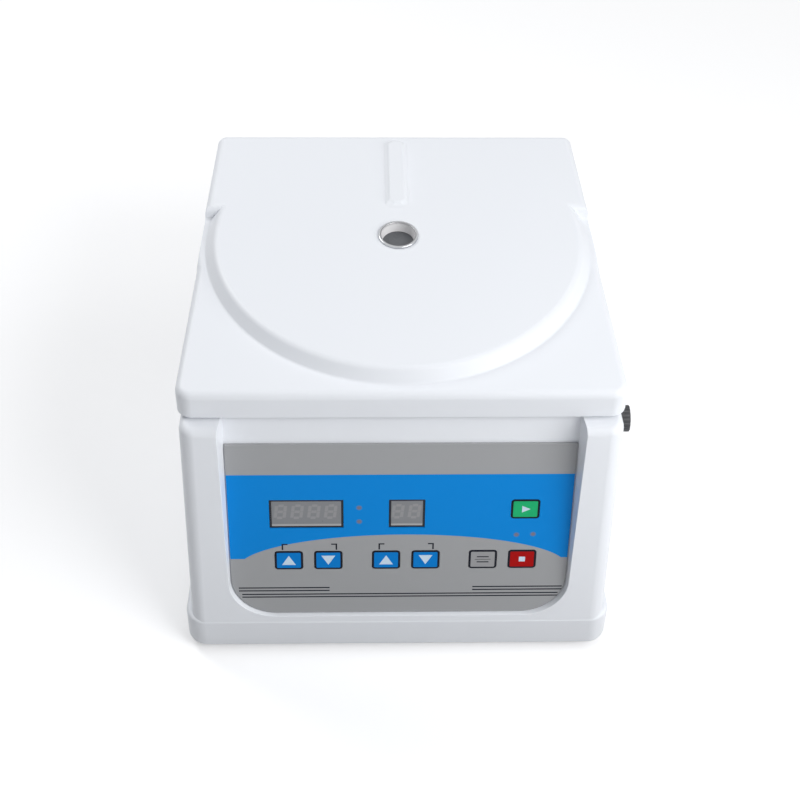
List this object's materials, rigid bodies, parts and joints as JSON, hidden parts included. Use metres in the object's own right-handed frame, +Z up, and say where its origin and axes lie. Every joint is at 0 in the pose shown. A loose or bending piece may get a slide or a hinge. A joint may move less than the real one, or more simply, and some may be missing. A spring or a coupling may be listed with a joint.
{
  "type": "benchtop centrifuge",
  "caption": "Benchtop low-speed centrifuge: hinged lid with sight glass, side latch knob, raked key panel with displays, and an angle rotor with tube sleeves on a damped motor.",
  "frame": {"origin": "centre of the footprint, on the bench under the feet", "axes": "+X to the user's right (the latch knob's side), +Y to the back (the hinges), +Z up"},
  "size_m": [0.3395, 0.3392, 0.2754],
  "materials": {
    "white_shell": "smooth gloss moulding",
    "black_rubber": "matt",
    "stainless_steel": "drawn and brushed",
    "plated_sheet": "zinc plated sheet",
    "rotor_aluminium": "turned and anodised",
    "bright_chrome": "polished",
    "motor_paint": "black enamel",
    "transformer_iron": "varnished laminations",
    "dark_plastic": "fine texture",
    "panel_film": "printed satin film, grey with a blue field",
    "key_blue": "printed satin film",
    "key_grey": "printed satin film",
    "key_red": "printed satin film",
    "key_green": "printed satin film",
    "display_face": "smoked window",
    "circuit_board": "solder mask",
    "smoked_glass": "smoked and polished"
  },
  "bodies": {
    "base": {"housing": "white_shell", "foot_front_left": "black_rubber", "foot_front_right": "black_rubber", "foot_rear_left": "black_rubber", "foot_rear_right": "black_rubber", "lid_bumper_left": "black_rubber", "lid_bumper_right": "black_rubber", "motor_damper_1": "black_rubber", "motor_damper_2": "black_rubber", "motor_damper_3": "black_rubber", "shaft_boot": "black_rubber", "chamber_bowl": "stainless_steel", "hinge_body_leaf_left": "stainless_steel", "hinge_body_leaf_right": "stainless_steel", "hinge_pin_left": "stainless_steel", "hinge_pin_right": "stainless_steel", "latch_bracket": "stainless_steel", "base_plate": "plated_sheet", "motor_mount_plate": "plated_sheet", "motor": "motor_paint", "transformer": "transformer_iron", "latch_bush": "dark_plastic", "power_inlet": "dark_plastic", "switch_bezel": "dark_plastic", "fuse_holder": "dark_plastic", "panel_overlay": "panel_film", "speed_display": "display_face", "time_display": "display_face", "control_board": "circuit_board", "drive_board": "circuit_board"},
    "lid": {"lid_cover": "white_shell", "lid_liner": "rotor_aluminium", "lid_seal": "black_rubber", "sight_ring": "bright_chrome", "sight_glass": "smoked_glass", "lid_striker": "stainless_steel", "hinge_lid_leaf_left": "stainless_steel", "hinge_lid_leaf_right": "stainless_steel"},
    "rotor": {"angle_rotor": "rotor_aluminium", "rotor_nut": "bright_chrome", "motor_shaft": "stainless_steel", "tube_sleeve_1": "stainless_steel", "tube_sleeve_2": "stainless_steel", "tube_sleeve_3": "stainless_steel", "tube_sleeve_4": "stainless_steel", "tube_sleeve_5": "stainless_steel", "tube_sleeve_6": "stainless_steel", "tube_sleeve_7": "stainless_steel", "tube_sleeve_8": "stainless_steel"},
    "latch": {"latch_knob": "dark_plastic", "latch_shaft": "stainless_steel", "latch_hook": "stainless_steel"},
    "power_switch": {"power_rocker": "dark_plastic"},
    "key_speed_up_body": {"key_speed_up": "key_blue"},
    "key_speed_down_body": {"key_speed_down": "key_blue"},
    "key_time_up_body": {"key_time_up": "key_blue"},
    "key_time_down_body": {"key_time_down": "key_blue"},
    "key_mode_body": {"key_mode": "key_grey"},
    "key_stop_body": {"key_stop": "key_red"},
    "key_start_body": {"key_start": "key_green"}
  },
  "joints": [
    {"name": "lid_hinge", "type": "hinge", "parent": "base", "child": "lid", "pos_m": [0, 0.16535, 0.24], "axis": [-1, 0, 0], "range_deg": [0, 80]},
    {"name": "rotor_spin", "type": "hinge", "parent": "base", "child": "rotor", "pos_m": [0, 0.02985, 0.18], "axis": [0, 0, 1], "continuous": true},
    {"name": "latch_turn", "type": "hinge", "parent": "base", "child": "latch", "pos_m": [0.121, -0.11115, 0.2154], "axis": [1, 0, 0], "range_deg": [0, 55]},
    {"name": "power_rocker_tilt", "type": "hinge", "parent": "base", "child": "power_switch", "pos_m": [0.054, 0.15715, 0.078], "axis": [0, 0, -1], "range_deg": [0, 14]},
    {"name": "key_speed_up_press", "type": "slide", "parent": "base", "child": "key_speed_up_body", "axis": [0, 0.9781, -0.2079], "range_m": [0, 0.0004], "stiffness_N_per_m": 3000},
    {"name": "key_speed_down_press", "type": "slide", "parent": "base", "child": "key_speed_down_body", "axis": [0, 0.9781, -0.2079], "range_m": [0, 0.0004], "stiffness_N_per_m": 3000},
    {"name": "key_time_up_press", "type": "slide", "parent": "base", "child": "key_time_up_body", "axis": [0, 0.9781, -0.2079], "range_m": [0, 0.0004], "stiffness_N_per_m": 3000},
    {"name": "key_time_down_press", "type": "slide", "parent": "base", "child": "key_time_down_body", "axis": [0, 0.9781, -0.2079], "range_m": [0, 0.0004], "stiffness_N_per_m": 3000},
    {"name": "key_mode_press", "type": "slide", "parent": "base", "child": "key_mode_body", "axis": [0, 0.9781, -0.2079], "range_m": [0, 0.0004], "stiffness_N_per_m": 3000},
    {"name": "key_stop_press", "type": "slide", "parent": "base", "child": "key_stop_body", "axis": [0, 0.9781, -0.2079], "range_m": [0, 0.0004], "stiffness_N_per_m": 3000},
    {"name": "key_start_press", "type": "slide", "parent": "base", "child": "key_start_body", "axis": [0, 0.9781, -0.2079], "range_m": [0, 0.0004], "stiffness_N_per_m": 3000}
  ]
}
